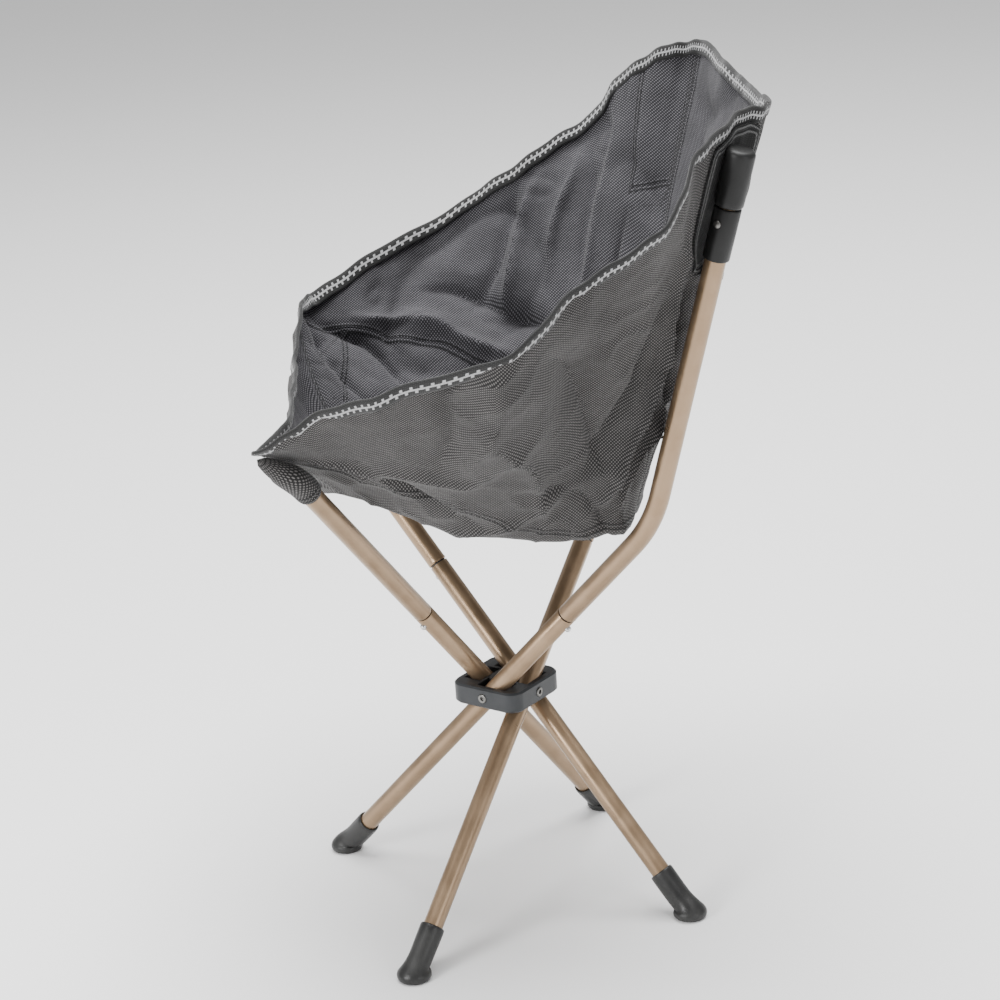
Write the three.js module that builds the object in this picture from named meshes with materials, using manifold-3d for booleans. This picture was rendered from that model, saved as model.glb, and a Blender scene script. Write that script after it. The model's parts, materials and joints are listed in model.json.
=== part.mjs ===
// Folding sling chair: four tubes crossed through a square hub, with a hung fabric bucket seat.
// Millimetres, +Z up, front of the seat towards -Y, the sitter's left towards +X.
import * as THREE from "three";
import Module from "manifold-3d";
import { mergeVertices } from "three/addons/utils/BufferGeometryUtils.js";

const wasm = await Module();
wasm.setup();

// Frame of the whole part
const frameShiftY = -22.43;  // puts the middle of the bounding box on the Z axis
const seatTurn = 5;          // degrees between the seat and the diagonals of the hub

// Hub and pivots
const pivotHeight = 229;
const hubHalf = 42;
const hubCorner = 15;
const hubThick = 22;
const hubBevel = 2;
const tubeOffset = 24.6;     // hub centre to the plane of each tube
const slotHalf = 10.35;
const slotNear = 10.3;
const slotMiddle = 14.2;
const slotFar = 24.8;

// Tubes
const tubeRadius = 10;
const tubeWall = 1.2;
const tubeSides = 16;
const spigotRadius = 8.5;
const spigotLength = 38;
const spliceGap = 0.6;
const frontLean = 41.3;      // degrees from vertical
const rearLean = 44;
const rearPostLean = 17;     // above the bend
const rearBendAt = 298;      // pivot to the middle of the bend
const rearBendTrim = 34;     // length of tube either side taken up by the bend
const frontTip = 400;        // pivot to the end of a front tube
const rearPostLength = 381;  // bend to the end of the post

// End fitting of a rear post: a fixed ferrule below a cap that turns
const ferruleFrom = rearPostLength - 101;
const ferruleTo = rearPostLength - 50;
const capTo = rearPostLength + 5;
const ferruleScrewRise = 36; // lower end of the ferrule to its screw

// Small parts
const buttonRadius = 3.2;
const buttonDrop = 11.5;     // below the splice
const screwRadius = 3;
const screwHeadRadius = 5;
const screwHeadLength = 5;
const clearance = 0.3;

// Feet
const footOuter = 12.6;
const footSleeve = 48;
const footBase = 17.5;       // radius of the lip at the ground
const footBaseHeight = 9;
const footRise = 6.5;        // ground to the point where a leg's nominal length ends
const footStart = -2.5;      // that point to the middle of the base along the leg

// Sling
const slingThick = 2;
const pocketLength = 30;     // of the front pocket over the tube
const bindingWidth = 13;
const bindingThick = 4.4;

const legs = {
  front_left: { turn: -45, lean: frontLean, splice: 147, rear: false },
  front_right: { turn: -135, lean: frontLean, splice: 147, rear: false },
  rear_left: { turn: 45, lean: rearLean, splice: 145, rear: true },
  rear_right: { turn: 135, lean: rearLean, splice: 173, rear: true },
};

const looks = {
  tube: [0xb89f84, 0.38, 0.75],
  hub: [0x33363a, 0.5, 0],
  steel: [0xc4c6c8, 0.28, 1],
  rubber: [0x303031, 0.8, 0],
  plastic: [0x1b1b1c, 0.45, 0],
  fabric: [0x514f53, 0.9, 0],
  patch: [0x191919, 0.85, 0],
  binding: [0x1d1d1e, 0.85, 0],
};

const group = new THREE.Group();
const rad = THREE.MathUtils.degToRad;

function addPart(name, geometry, look) {
  const [color, roughness, metalness] = looks[look];
  const material = new THREE.MeshStandardMaterial({ color, roughness, metalness });
  const mesh = new THREE.Mesh(geometry, material);
  mesh.name = name;
  group.add(mesh);
}

function toSolid(geometry) {
  const bare = geometry.clone();
  bare.deleteAttribute("normal");
  bare.deleteAttribute("uv");
  const merged = mergeVertices(bare, 1e-4);
  const vertProperties = new Float32Array(merged.attributes.position.array);
  const triVerts = new Uint32Array(merged.index.array);
  return new wasm.Manifold(new wasm.Mesh({ numProp: 3, vertProperties, triVerts }));
}

function toGeometry(solid) {
  const mesh = solid.getMesh();
  const geometry = new THREE.BufferGeometry();
  geometry.setAttribute("position", new THREE.BufferAttribute(new Float32Array(mesh.vertProperties), 3));
  geometry.setIndex(new THREE.BufferAttribute(new Uint32Array(mesh.triVerts), 1));
  geometry.computeVertexNormals();
  return geometry;
}

// A solid of revolution about Z from [radius, height] pairs
function turned(profile, sides) {
  const points = profile.map(([radius, height]) => new THREE.Vector2(radius, height));
  return new THREE.LatheGeometry(points, sides).rotateX(Math.PI / 2);
}

function rod(radius, from, to, sides = tubeSides) {
  return turned([[0, from], [radius, from], [radius, to], [0, to]], sides);
}

// Turns a geometry built along Z to a direction, then moves it to a place
function placed(geometry, direction, origin) {
  const turn = new THREE.Quaternion().setFromUnitVectors(new THREE.Vector3(0, 0, 1), direction);
  return geometry.applyQuaternion(turn).translate(origin.x, origin.y, origin.z);
}

// From a leg's own frame (X outwards along its swing, tube plane at y = -tubeOffset) to the part's
function seated(geometry, leg) {
  return geometry.rotateZ(rad(leg.turn + seatTurn)).translate(0, frameShiftY, 0);
}

function axisOf(lean) {
  return new THREE.Vector3(Math.sin(rad(lean)), 0, Math.cos(rad(lean)));
}

const pivot = new THREE.Vector3(0, -tubeOffset, pivotHeight);

function along(leg, distance) {
  return axisOf(leg.lean).multiplyScalar(distance).add(pivot);
}

// Nominal length of a leg below its pivot
function legDrop(leg) {
  return (pivotHeight - footRise) / Math.cos(rad(leg.lean));
}

function hub() {
  const half = hubHalf - hubBevel;
  const corner = hubCorner - hubBevel;
  const shape = new THREE.Shape();
  shape.moveTo(-half + corner, -half);
  shape.lineTo(half - corner, -half);
  shape.absarc(half - corner, -half + corner, corner, -Math.PI / 2, 0);
  shape.lineTo(half, half - corner);
  shape.absarc(half - corner, half - corner, corner, 0, Math.PI / 2);
  shape.lineTo(-half + corner, half);
  shape.absarc(-half + corner, half - corner, corner, Math.PI / 2, Math.PI);
  shape.lineTo(-half, -half + corner);
  shape.absarc(-half + corner, -half + corner, corner, Math.PI, Math.PI * 1.5);
  const options = { depth: hubThick - 2 * hubBevel, bevelSize: hubBevel, bevelThickness: hubBevel };
  const block = new THREE.ExtrudeGeometry(shape, { ...options, bevelSegments: 1, curveSegments: 5 });
  block.translate(0, 0, hubBevel - hubThick / 2);
  let solid = toSolid(block);
  for (const leg of Object.values(legs)) {
    const cuts = [hubSlot(), screwHole()];
    for (const cut of cuts) {
      solid = solid.subtract(toSolid(cut.rotateZ(rad(leg.turn + 45))));
    }
  }
  const geometry = toGeometry(solid);
  return geometry.rotateZ(rad(seatTurn - 45)).translate(0, frameShiftY, pivotHeight);
}

// The bow-tie slot a tube swings in, seen along the pivot
function hubSlot() {
  const top = hubThick / 2 + 1;
  const far = slotFar + 1;
  const shape = new THREE.Shape();
  shape.moveTo(-slotNear, top);
  shape.lineTo(far, top);
  shape.lineTo(slotMiddle, 0);
  shape.lineTo(slotNear, -top);
  shape.lineTo(-far, -top);
  shape.lineTo(-slotMiddle, 0);
  const slot = new THREE.ExtrudeGeometry(shape, { depth: 2 * slotHalf, bevelEnabled: false });
  return slot.rotateX(Math.PI / 2).translate(0, slotHalf - tubeOffset, 0);
}

function screwHole() {
  const outside = hubHalf + 1;
  const seat = hubHalf - screwHeadLength + 1;
  const hole = turned([
    [0, 5.5], [screwRadius + 0.25, 5.5], [screwRadius + 0.25, seat],
    [screwHeadRadius + 0.25, seat], [screwHeadRadius + 0.25, outside], [0, outside],
  ], 16);
  return hole.rotateX(Math.PI / 2);
}

// Socket-head pivot screw with a hexagonal recess
function pivotScrew() {
  const seat = hubHalf - screwHeadLength + 1.3;
  const end = seat + screwHeadLength - 0.2;
  const body = turned([
    [0, 6], [screwRadius, 6], [screwRadius, seat], [screwHeadRadius, seat],
    [screwHeadRadius, end - 0.6], [screwHeadRadius - 0.6, end], [0, end],
  ], 16);
  const socket = rod(2.3, end - 2.6, end + 1, 6);
  const solid = toSolid(body).subtract(toSolid(socket));
  return toGeometry(solid).rotateX(Math.PI / 2).translate(0, 0, pivotHeight);
}

function lowerTube(leg) {
  const bottom = -legDrop(leg) + 6;
  const top = leg.splice - spliceGap;
  const inner = tubeRadius - tubeWall;
  const wall = [[inner, bottom], [tubeRadius, bottom], [tubeRadius, top], [inner, top], [inner, bottom]];
  const direction = axisOf(leg.lean);
  const tube = placed(turned(wall, tubeSides), direction, pivot);
  const crossHole = rod(screwRadius + clearance, -15, 15, 12).rotateX(Math.PI / 2);
  crossHole.translate(0, -tubeOffset, pivotHeight);
  const solid = toSolid(tube).subtract(toSolid(crossHole)).subtract(toSolid(buttonHole(leg)));
  return toGeometry(solid);
}

// Direction from the tube's axis out through its underside
function undersideOf(leg) {
  return new THREE.Vector3(Math.cos(rad(leg.lean)), 0, -Math.sin(rad(leg.lean)));
}

function buttonHole(leg) {
  const place = along(leg, leg.splice - buttonDrop);
  return placed(rod(buttonRadius + clearance, 3, 15, 12), undersideOf(leg), place);
}

function snapButton(leg) {
  const place = along(leg, leg.splice - buttonDrop);
  const dome = turned([
    [0, 6.4], [buttonRadius, 6.4], [buttonRadius, 11.6],
    [buttonRadius * 0.86, 12.6], [buttonRadius * 0.5, 13.4], [0, 13.7],
  ], 16);
  return placed(dome, undersideOf(leg), place);
}

// V-shaped leaf spring that sits inside the spigot and backs the button
function buttonSpring(leg) {
  const shape = new THREE.Shape();
  shape.moveTo(-6, 6);
  shape.lineTo(-6, 5.3);
  shape.lineTo(22, 0);
  shape.lineTo(-4, -5.9);
  shape.lineTo(-4, -6.6);
  shape.lineTo(25, -0.6);
  shape.lineTo(25, 0.6);
  const strip = new THREE.ExtrudeGeometry(shape, { depth: 5, bevelEnabled: false });
  strip.translate(0, 0, -2.5);
  const basis = new THREE.Matrix4();
  const down = undersideOf(leg);
  const up = axisOf(leg.lean);
  basis.makeBasis(up, down, new THREE.Vector3().crossVectors(up, down));
  const place = along(leg, leg.splice - buttonDrop);
  return strip.applyMatrix4(basis).translate(place.x, place.y, place.z);
}

// Straight upper tube with a swaged spigot that plugs into the lower tube
function frontUpper(leg) {
  const inner = tubeRadius - tubeWall;
  const spigotInner = spigotRadius - tubeWall;
  const joint = leg.splice;
  const wall = [
    [spigotInner, joint - spigotLength], [spigotRadius, joint - spigotLength],
    [spigotRadius, joint - 0.2], [tubeRadius - 0.5, joint], [tubeRadius, joint + 0.8],
    [tubeRadius, frontTip], [inner, frontTip], [inner, joint + 3],
    [spigotInner, joint + 1], [spigotInner, joint - spigotLength],
  ];
  const tube = placed(turned(wall, tubeSides), axisOf(leg.lean), pivot);
  return toGeometry(toSolid(tube).subtract(toSolid(buttonHole(leg))));
}

function postAxis() {
  return axisOf(rearPostLean);
}

function postPoint(leg, distance) {
  return postAxis().multiplyScalar(distance).add(along(leg, rearBendAt));
}

// Centre line of a rear tube from a point above the splice to the end of the post
function rearPath(leg, from) {
  const bendStart = along(leg, rearBendAt - rearBendTrim);
  const bendEnd = postPoint(leg, rearBendTrim);
  const middle = along(leg, rearBendAt);
  const bend = new THREE.QuadraticBezierCurve3(bendStart, middle, bendEnd).getPoints(6);
  const straight = [along(leg, from), along(leg, (from + rearBendAt) / 2)];
  return [...straight, ...bend, postPoint(leg, rearPostLength / 2), postPoint(leg, rearPostLength)];
}

// Sweeps a round bar through the points of a centre line that stays in one plane
function sweptBar(points, radius) {
  const bar = new THREE.CylinderGeometry(radius, radius, 1, tubeSides, points.length - 1);
  bar.rotateX(Math.PI / 2).translate(0, 0, 0.5);
  const position = bar.attributes.position;
  const side = new THREE.Vector3(0, 1, 0);
  const vertex = new THREE.Vector3();
  const last = points.length - 1;
  for (let i = 0; i < position.count; i += 1) {
    vertex.fromBufferAttribute(position, i);
    const row = Math.round(vertex.z * last);
    const before = points[Math.max(row - 1, 0)];
    const after = points[Math.min(row + 1, last)];
    const tangent = after.clone().sub(before).normalize();
    const across = new THREE.Vector3().crossVectors(side, tangent);
    const place = points[row].clone().addScaledVector(across, vertex.x).addScaledVector(side, vertex.y);
    position.setXYZ(i, place.x, place.y, place.z);
  }
  return bar;
}

function rearUpper(leg) {
  const joint = leg.splice;
  const points = rearPath(leg, joint + 3);
  const bore = points.slice();
  const tail = postPoint(leg, rearPostLength + 1);
  bore[0] = along(leg, joint + 1);
  bore[bore.length - 1] = tail;
  const outer = toSolid(sweptBar(points, tubeRadius));
  const inner = toSolid(sweptBar(bore, tubeRadius - tubeWall));
  const shoulder = turned([
    [0, joint - spigotLength], [spigotRadius, joint - spigotLength], [spigotRadius, joint - 0.2],
    [tubeRadius - 0.5, joint], [tubeRadius, joint + 0.8], [tubeRadius, joint + 3.2], [0, joint + 3.2],
  ], tubeSides);
  const spigotBore = rod(spigotRadius - tubeWall, joint - spigotLength - 1, joint + 4);
  const direction = axisOf(leg.lean);
  const solid = outer
    .add(toSolid(placed(shoulder, direction, pivot)))
    .subtract(inner)
    .subtract(toSolid(placed(spigotBore, direction, pivot)))
    .subtract(toSolid(buttonHole(leg)));
  return toGeometry(solid);
}

// Rubber foot: a sleeve on the tube, standing on a low round base that sits flat on the ground
function foot(leg) {
  const drop = legDrop(leg);
  const direction = axisOf(leg.lean);
  const sleeve = placed(turned([
    [0, -drop - 4], [footOuter, -drop - 4], [footOuter, footSleeve - drop - 1],
    [footOuter - 1, footSleeve - drop], [0, footSleeve - drop],
  ], 16), direction, pivot);
  const middle = along(leg, -drop + footStart);
  const base = turned([
    [0, 0], [footBase - 4, 0], [footBase - 1.2, 1.3], [footBase, 3.6],
    [footBase - 0.6, 5.8], [footOuter + 1.2, footBaseHeight], [0, footBaseHeight + 1.5],
  ], 16).translate(middle.x, middle.y, 0);
  const floor = new THREE.BoxGeometry(120, 120, 40).translate(middle.x, middle.y, -20);
  const bore = placed(rod(tubeRadius + clearance, -drop + 5.6, footSleeve - drop + 1, 16), direction, pivot);
  const solid = toSolid(sleeve).add(toSolid(base)).subtract(toSolid(floor)).subtract(toSolid(bore));
  return toGeometry(solid);
}

// Domed plastic plug pressed into the end of a front tube
function tipPlug(leg) {
  const inner = tubeRadius - tubeWall - clearance;
  const plug = turned([
    [0, frontTip - 14], [inner, frontTip - 14],
    [inner, frontTip + clearance], [tubeRadius, frontTip + clearance],
    [tubeRadius * 0.9, frontTip + 3.5], [tubeRadius * 0.5, frontTip + 5.5], [0, frontTip + 6],
  ], tubeSides);
  return placed(plug, axisOf(leg.lean), pivot);
}

// Fixed lower half of the post's end fitting
function postFerrule(leg) {
  const inner = tubeRadius + clearance;
  const shell = turned([
    [inner, ferruleFrom], [12, ferruleFrom], [12.6, ferruleFrom + 0.8], [12.8, ferruleTo - 0.8],
    [12.2, ferruleTo], [inner, ferruleTo], [inner, ferruleFrom],
  ], 16);
  const hole = rod(2.4, 5, 20, 12).rotateX(Math.PI / 2).translate(0, 0, ferruleFrom + ferruleScrewRise);
  const solid = toSolid(shell).subtract(toSolid(hole));
  return placed(toGeometry(solid), postAxis(), along(leg, rearBendAt));
}

function ferruleScrew(leg) {
  const head = turned([
    [0, tubeRadius + 0.2], [2.1, tubeRadius + 0.2], [2.1, 12.9],
    [3.8, 12.95], [3.6, 14], [2.2, 14.7], [0, 14.9],
  ], 16);
  head.rotateX(Math.PI / 2).translate(0, 0, ferruleFrom + ferruleScrewRise);
  return placed(head, postAxis(), along(leg, rearBendAt));
}

// Cap that turns on the end of the post and carries the corner of the sling
function swivelCap(leg) {
  const inner = tubeRadius + clearance;
  const cap = turned([
    [inner, ferruleTo + 1.2], [12.6, ferruleTo + 1.2], [13.6, ferruleTo + 2.4], [13.9, capTo - 4],
    [12.6, capTo - 1], [10, capTo], [0, capTo],
    [0, capTo - 4.6], [inner, capTo - 4.6], [inner, ferruleTo + 1.2],
  ], 16);
  return placed(cap, postAxis(), along(leg, rearBendAt));
}

// Sling: half the seat as columns from the front middle round the sitter's left to the back middle.
// Each column lists the rim, the middle of the wall and the edge of the floor.
const columns = [
  [[0, -190, 566], [0, -186, 524], [0, -170, 482]],
  [[110, -196, 565], [100, -190, 524], [78, -166, 483]],
  [[208, -226, 564], [152, -186, 532], [112, -148, 487]],
  [[232, -170, 602], [186, -140, 542], [126, -114, 478]],
  [[272, -100, 632], [218, -84, 545], [132, -60, 458]],
  [[322, 10, 673], [238, 4, 558], [132, 10, 440]],
  [[291, 78, 722], [218, 78, 590], [128, 66, 430]],
  [[292, 146, 760], [200, 126, 612], [118, 94, 430]],
  [[246, 190, 818], [180, 156, 630], [108, 110, 432]],
  [[210, 230, 842], [166, 176, 636], [98, 120, 432]],
  [[194, 258, 846], [146, 196, 640], [84, 128, 432]],
  [[104, 266, 840], [78, 204, 638], [46, 138, 430]],
  [[0, 270, 836], [0, 208, 636], [0, 142, 428]],
];
// The right half mirrors the left, except where its front corner stands up and back
const rightFront = {
  1: [[-106, -186, 572], [-98, -187, 527], [-78, -166, 483]],
  2: [[-200, -178, 602], [-150, -174, 546], [-112, -148, 487]],
};
const floorMiddle = [0, -20, 434];
const seamGap = 0.02;        // of a column, between neighbouring panels
const frontCorner = 2;       // columns where the panels meet
const rearCorner = 10;

function columnCurve(row) {
  const left = columns.map((column) => new THREE.Vector3(...column[row]));
  const right = left.map((point, index) => {
    const own = rightFront[index];
    return own ? new THREE.Vector3(...own[row]) : new THREE.Vector3(-point.x, point.y, point.z);
  });
  return new THREE.CatmullRomCurve3([...left, ...right.slice(1, -1).reverse()], true, "centripetal");
}

const rimCurve = columnCurve(0);
const wallCurve = columnCurve(1);
const floorCurve = columnCurve(2);
const loopSteps = 2 * (columns.length - 1);

// A point of the sling: turn counts columns round the seat, depth runs 0 rim, 1 wall, 2 floor edge, 3 middle
function slingPoint(turn, depth) {
  const t = (turn / loopSteps + 1) % 1;
  const floor = floorCurve.getPoint(t);
  if (depth > 2) {
    return floor.lerp(new THREE.Vector3(...floorMiddle), depth - 2);
  }
  const half = depth / 2;
  const point = rimCurve.getPoint(t).multiplyScalar((1 - half) * (1 - 2 * half));
  point.addScaledVector(wallCurve.getPoint(t), 4 * half * (1 - half));
  return point.addScaledVector(floor, half * (2 * half - 1));
}

// Unit vectors at a point of the wall: down the cloth, and out of the seat
function slingFrame(turn, depth) {
  const step = 0.05;
  const round = slingPoint(turn + step, depth).sub(slingPoint(turn - step, depth));
  const upper = Math.max(depth - step, 0);
  const lower = Math.min(depth + step, 2);
  const down = slingPoint(turn, lower).sub(slingPoint(turn, upper)).normalize();
  return { down, out: new THREE.Vector3().crossVectors(round, down).normalize().negate() };
}

// Depth at a distance in millimetres below the rim
function depthBelowRim(turn, distance) {
  const step = 0.05;
  return (distance * step) / slingPoint(turn, step).distanceTo(slingPoint(turn, 0));
}

// A closed sheet over part of the wall, from a distance below the rim down to a depth
function wallPanel(turns, top, bottom, cells, thickness, lift) {
  const panel = new THREE.BoxGeometry(1, 1, 1, cells[0], cells[1], 1);
  const position = panel.attributes.position;
  for (let i = 0; i < position.count; i += 1) {
    const turn = THREE.MathUtils.lerp(turns[0], turns[1], position.getX(i) + 0.5);
    const depth = THREE.MathUtils.lerp(bottom, depthBelowRim(turn, top), position.getY(i) + 0.5);
    const point = slingPoint(turn, depth);
    point.addScaledVector(slingFrame(turn, depth).out, lift + position.getZ(i) * thickness);
    position.setXYZ(i, point.x, point.y + frameShiftY, point.z);
  }
  return panel;
}

// The floor of the seat: a square grid drawn out to the floor's rounded outline
function floorPanel(cells) {
  const panel = new THREE.BoxGeometry(2, 2, 1, cells, cells, 1);
  const position = panel.attributes.position;
  for (let i = 0; i < position.count; i += 1) {
    const x = position.getX(i);
    const y = position.getY(i);
    const reach = Math.max(Math.abs(x), Math.abs(y));
    const turn = (Math.atan2(x, -y) / (2 * Math.PI)) * loopSteps;
    const point = slingPoint(turn, 3 - 0.97 * reach);
    position.setXYZ(i, point.x, point.y + frameShiftY, point.z + position.getZ(i) * slingThick);
  }
  return panel;
}

// Tape folded over the whole rim
function rimBinding() {
  const steps = 72;
  const tape = new THREE.TorusGeometry(10, 1, 6, steps);
  const position = tape.attributes.position;
  for (let i = 0; i < position.count; i += 1) {
    const x = position.getX(i);
    const y = position.getY(i);
    const turn = (Math.atan2(y, x) / (2 * Math.PI)) * loopSteps;
    const rise = Math.hypot(x, y) - 10;
    const { down, out } = slingFrame(turn, 0);
    const point = slingPoint(turn, 0).addScaledVector(down, (bindingWidth / 2) * (1 - rise));
    point.addScaledVector(out, (-bindingThick / 2) * position.getZ(i));
    position.setXYZ(i, point.x, point.y + frameShiftY, point.z);
  }
  return tape;
}

// Closed fabric sock at the front corner that the tube's end sits in
function frontPocket() {
  const inner = tubeRadius + clearance + 0.2;
  const mouth = frontTip - pocketLength;
  const end = frontTip + 6.6;
  const sock = turned([
    [inner, mouth], [inner + 2, mouth], [inner + 2.4, mouth + 12], [inner + 2.4, end - 4],
    [inner - 1, end + 2], [0, end + 2.6], [0, end], [inner - 2, end], [inner, end - 3], [inner, mouth],
  ], 16);
  return placed(sock, axisOf(frontLean), pivot);
}

addPart("hub_block", hub(), "hub");
for (const [side, leg] of Object.entries(legs)) {
  addPart("pivot_screw_" + side, seated(pivotScrew(), leg), "steel");
  addPart("lower_tube_" + side, seated(lowerTube(leg), leg), "tube");
  addPart("upper_tube_" + side, seated(leg.rear ? rearUpper(leg) : frontUpper(leg), leg), "tube");
  addPart("snap_button_" + side, seated(snapButton(leg), leg), "steel");
  addPart("button_spring_" + side, seated(buttonSpring(leg), leg), "steel");
  addPart("foot_" + side, seated(foot(leg), leg), "rubber");
  if (leg.rear) {
    addPart("post_ferrule_" + side, seated(postFerrule(leg), leg), "plastic");
    addPart("ferrule_screw_" + side, seated(ferruleScrew(leg), leg), "steel");
    addPart("swivel_cap_" + side, seated(swivelCap(leg), leg), "plastic");
  } else {
    addPart("tip_plug_" + side, seated(tipPlug(leg), leg), "plastic");
  }
}

const underRim = bindingWidth + 1;
const patchLift = slingThick / 2 + 1.5;
for (const side of ["left", "right"]) {
  const span = (from, to) => (side === "left" ? [from, to] : [loopSteps - to, loopSteps - from]);
  const sideSpan = span(frontCorner + seamGap, rearCorner - seamGap);
  const wall = wallPanel(sideSpan, underRim, 1.98, [24, 6], slingThick, 0);
  addPart("sling_side_" + side, wall, "fabric");
  const patch = wallPanel(span(8.5, 9.9), bindingWidth + 4, 0.75, [6, 4], 1.2, patchLift);
  addPart("corner_patch_" + side, patch, "patch");
  addPart("tip_pocket_" + side, seated(frontPocket(), legs["front_" + side]), "fabric");
}
const backSpan = [rearCorner + seamGap, loopSteps - rearCorner - seamGap];
addPart("sling_back", wallPanel(backSpan, underRim, 1.98, [8, 8], slingThick, 0), "fabric");
const frontSpan = [seamGap - frontCorner, frontCorner - seamGap];
addPart("sling_front", wallPanel(frontSpan, underRim + 3, 1.96, [8, 3], slingThick, 0), "fabric");
addPart("sling_floor", floorPanel(10), "fabric");
addPart("rim_binding", rimBinding(), "binding");

export default group;
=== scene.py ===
import json
import math
import bmesh
import bpy
from mathutils import Matrix, Vector, noise


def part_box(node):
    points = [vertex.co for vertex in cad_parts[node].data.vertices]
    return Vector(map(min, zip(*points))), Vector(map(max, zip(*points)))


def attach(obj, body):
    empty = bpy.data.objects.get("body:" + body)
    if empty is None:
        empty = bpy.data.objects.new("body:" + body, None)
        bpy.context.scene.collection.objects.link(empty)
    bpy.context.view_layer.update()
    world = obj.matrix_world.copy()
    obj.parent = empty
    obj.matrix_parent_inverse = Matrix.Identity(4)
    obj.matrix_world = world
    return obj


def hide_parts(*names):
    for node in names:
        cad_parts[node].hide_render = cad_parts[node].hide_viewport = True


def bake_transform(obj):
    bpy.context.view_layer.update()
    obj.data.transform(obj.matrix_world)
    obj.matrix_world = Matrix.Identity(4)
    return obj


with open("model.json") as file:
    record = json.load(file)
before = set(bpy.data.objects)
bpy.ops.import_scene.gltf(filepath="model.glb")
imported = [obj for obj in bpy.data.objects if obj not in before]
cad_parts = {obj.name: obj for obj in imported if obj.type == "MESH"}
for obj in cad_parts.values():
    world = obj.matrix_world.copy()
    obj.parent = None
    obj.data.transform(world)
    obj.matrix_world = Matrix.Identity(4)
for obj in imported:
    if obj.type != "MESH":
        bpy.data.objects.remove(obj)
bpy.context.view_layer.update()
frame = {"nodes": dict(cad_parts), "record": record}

mm = 0.001
up = Vector((0, 0, 1))
joints = {joint["name"]: joint for joint in frame["record"]["behaviour"]["joints"]}
hubLow, hubHigh = (Vector(corner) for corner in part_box("hub_block"))
hubMiddle = (hubLow + hubHigh) / 2


def newGroup(name, inputs, outputs):
    group = bpy.data.node_groups.new(name, "ShaderNodeTree")
    for label, kind, value in inputs:
        socket = group.interface.new_socket(label, in_out="INPUT", socket_type=kind)
        if value is not None:
            socket.default_value = value
    for label, kind in outputs:
        group.interface.new_socket(label, in_out="OUTPUT", socket_type=kind)
    entry = group.nodes.new("NodeGroupInput")
    leave = group.nodes.new("NodeGroupOutput")
    return group, entry, leave


def addMath(tree, operation, first, second=None, clamp=False):
    node = tree.nodes.new("ShaderNodeMath")
    node.operation = operation
    node.use_clamp = clamp
    for slot, value in enumerate((first, second)):
        if value is None:
            continue
        if isinstance(value, (int, float)):
            node.inputs[slot].default_value = value
        else:
            tree.links.new(value, node.inputs[slot])
    return node.outputs[0]


def addRamp(tree, value, low, high, lowOut=0.0, highOut=1.0):
    node = tree.nodes.new("ShaderNodeMapRange")
    node.interpolation_type = "SMOOTHSTEP"
    tree.links.new(value, node.inputs["Value"])
    for label, amount in (("From Min", low), ("From Max", high), ("To Min", lowOut), ("To Max", highOut)):
        node.inputs[label].default_value = amount
    return node.outputs[0]


def addMix(tree, factor, first, second):
    node = tree.nodes.new("ShaderNodeMix")
    node.data_type = "RGBA"
    tree.links.new(factor, node.inputs["Factor"])
    for label, value in (("A", first), ("B", second)):
        socket = [item for item in node.inputs if item.name == label and item.type == "RGBA"][0]
        if isinstance(value, (tuple, list)):
            socket.default_value = (*value[:3], 1)
        else:
            tree.links.new(value, socket)
    return [item for item in node.outputs if item.type == "RGBA"][0]


def addNoise(tree, vector, scale, detail=3.0, roughness=0.55):
    node = tree.nodes.new("ShaderNodeTexNoise")
    node.inputs["Scale"].default_value = scale
    node.inputs["Detail"].default_value = detail
    node.inputs["Roughness"].default_value = roughness
    if vector is not None:
        tree.links.new(vector, node.inputs["Vector"])
    return node.outputs["Fac"]


def buildWeave():
    # two-tone plain weave: light weft flecks over a dark warp, on a pattern in metres
    inputs = [
        ("Vector", "NodeSocketVector", None), ("Threads", "NodeSocketFloat", 610.0),
        ("Dark", "NodeSocketColor", (0.03, 0.03, 0.03, 1)), ("Light", "NodeSocketColor", (0.3, 0.3, 0.3, 1)),
    ]
    outputs = [("Color", "NodeSocketColor"), ("Height", "NodeSocketFloat"), ("Fleck", "NodeSocketFloat")]
    group, entry, leave = newGroup("plainWeave", inputs, outputs)
    split = group.nodes.new("ShaderNodeSeparateXYZ")
    group.links.new(entry.outputs["Vector"], split.inputs[0])
    waves = []
    for axis in ("X", "Y"):
        turn = addMath(group, "MULTIPLY", split.outputs[axis], entry.outputs["Threads"])
        turn = addMath(group, "MULTIPLY", turn, math.pi)
        waves.append(addMath(group, "SINE", turn))
    product = addMath(group, "MULTIPLY", waves[0], waves[1])
    fleck = addRamp(group, product, 0.08, 0.55)
    patchy = addNoise(group, entry.outputs["Vector"], 900, 2)
    fleck = addMath(group, "MULTIPLY", fleck, addRamp(group, patchy, 0.25, 0.6, 0.45, 1.1))
    height = addMath(group, "ABSOLUTE", product)
    tone = addNoise(group, entry.outputs["Vector"], 22, 3)
    shade = addRamp(group, tone, 0.3, 0.7, 0.86, 1.12)
    color = addMix(group, fleck, entry.outputs["Dark"], entry.outputs["Light"])
    scaled = group.nodes.new("ShaderNodeVectorMath")
    scaled.operation = "SCALE"
    group.links.new(color, scaled.inputs[0])
    group.links.new(shade, scaled.inputs["Scale"])
    group.links.new(scaled.outputs[0], leave.inputs["Color"])
    group.links.new(height, leave.inputs["Height"])
    group.links.new(fleck, leave.inputs["Fleck"])
    return group


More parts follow.
